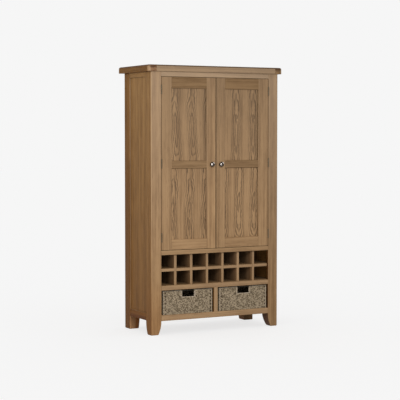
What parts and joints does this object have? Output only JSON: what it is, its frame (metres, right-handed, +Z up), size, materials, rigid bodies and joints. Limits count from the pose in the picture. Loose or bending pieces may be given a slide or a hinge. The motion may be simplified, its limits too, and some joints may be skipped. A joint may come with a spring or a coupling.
{
  "type": "larder cabinet",
  "caption": "Tall oak larder cabinet: framed panel doors over an egg-crate wine rack and pull-out woven baskets, on curved corner legs.",
  "frame": {"origin": "on the floor, under the middle of the whole part's box", "axes": "+Z up, front of the cabinet towards -Y, +X to the right when facing the doors"},
  "size_m": [1.094, 0.514, 1.9],
  "materials": {
    "oak_frame": "straight-grained oak, satin lacquer",
    "oak_panel": "crown-cut oak with dark arches, satin lacquer",
    "oak_inside": "oak, thin satin lacquer",
    "oak_back": "oak boards, dull lacquer",
    "aged_brass": "aged, dull",
    "dark_nickel": "polished dark nickel",
    "seagrass": "woven seagrass, matt"
  },
  "bodies": {
    "carcass": {"top_board": "oak_frame", "top_end_left": "oak_frame", "top_end_right": "oak_frame", "front_left_post": "oak_frame", "front_right_post": "oak_frame", "back_left_post": "oak_frame", "back_right_post": "oak_frame", "left_side_bottom_rail": "oak_frame", "left_side_top_rail": "oak_frame", "right_side_bottom_rail": "oak_frame", "right_side_top_rail": "oak_frame", "left_side_panel": "oak_panel", "right_side_panel": "oak_panel", "back_panel": "oak_back", "front_top_rail": "oak_frame", "front_bottom_rail": "oak_frame", "larder_floor": "oak_frame", "rack_floor": "oak_frame", "basket_floor": "oak_inside", "larder_shelf_1": "oak_inside", "larder_shelf_2": "oak_inside", "larder_shelf_3": "oak_inside", "rack_shelf": "oak_inside", "rack_divider_1": "oak_inside", "rack_divider_2": "oak_inside", "rack_divider_3": "oak_inside", "rack_divider_4": "oak_inside", "rack_divider_5": "oak_inside", "rack_divider_6": "oak_inside", "basket_divider": "oak_frame", "left_bottom_hinge_post_leaf": "aged_brass", "left_middle_hinge_post_leaf": "aged_brass", "left_top_hinge_post_leaf": "aged_brass", "right_bottom_hinge_post_leaf": "aged_brass", "right_middle_hinge_post_leaf": "aged_brass", "right_top_hinge_post_leaf": "aged_brass"},
    "left_door": {"left_door_hinge_stile": "oak_frame", "left_door_meeting_stile": "oak_frame", "left_door_bottom_rail": "oak_frame", "left_door_middle_rail": "oak_frame", "left_door_top_rail": "oak_frame", "left_door_lower_panel": "oak_panel", "left_door_upper_panel": "oak_panel", "left_door_knob": "dark_nickel", "left_bottom_hinge_door_leaf": "aged_brass", "left_middle_hinge_door_leaf": "aged_brass", "left_top_hinge_door_leaf": "aged_brass"},
    "right_door": {"right_door_hinge_stile": "oak_frame", "right_door_meeting_stile": "oak_frame", "right_door_bottom_rail": "oak_frame", "right_door_middle_rail": "oak_frame", "right_door_top_rail": "oak_frame", "right_door_lower_panel": "oak_panel", "right_door_upper_panel": "oak_panel", "right_door_knob": "dark_nickel", "right_bottom_hinge_door_leaf": "aged_brass", "right_middle_hinge_door_leaf": "aged_brass", "right_top_hinge_door_leaf": "aged_brass"},
    "left_basket": {"left_basket": "seagrass"},
    "right_basket": {"right_basket": "seagrass"}
  },
  "joints": [
    {"name": "left_door_hinge", "type": "hinge", "parent": "carcass", "child": "left_door", "pos_m": [-0.4355, -0.2313, 1.2075], "axis": [0, 0, -1], "range_deg": [0, 175]},
    {"name": "right_door_hinge", "type": "hinge", "parent": "carcass", "child": "right_door", "pos_m": [0.4355, -0.2313, 1.2075], "axis": [0, 0, 1], "range_deg": [0, 175]},
    {"name": "left_basket_slide", "type": "slide", "parent": "carcass", "child": "left_basket", "axis": [0, -1, 0], "range_m": [0, 0.28]},
    {"name": "right_basket_slide", "type": "slide", "parent": "carcass", "child": "right_basket", "axis": [0, -1, 0], "range_m": [0, 0.28]}
  ]
}
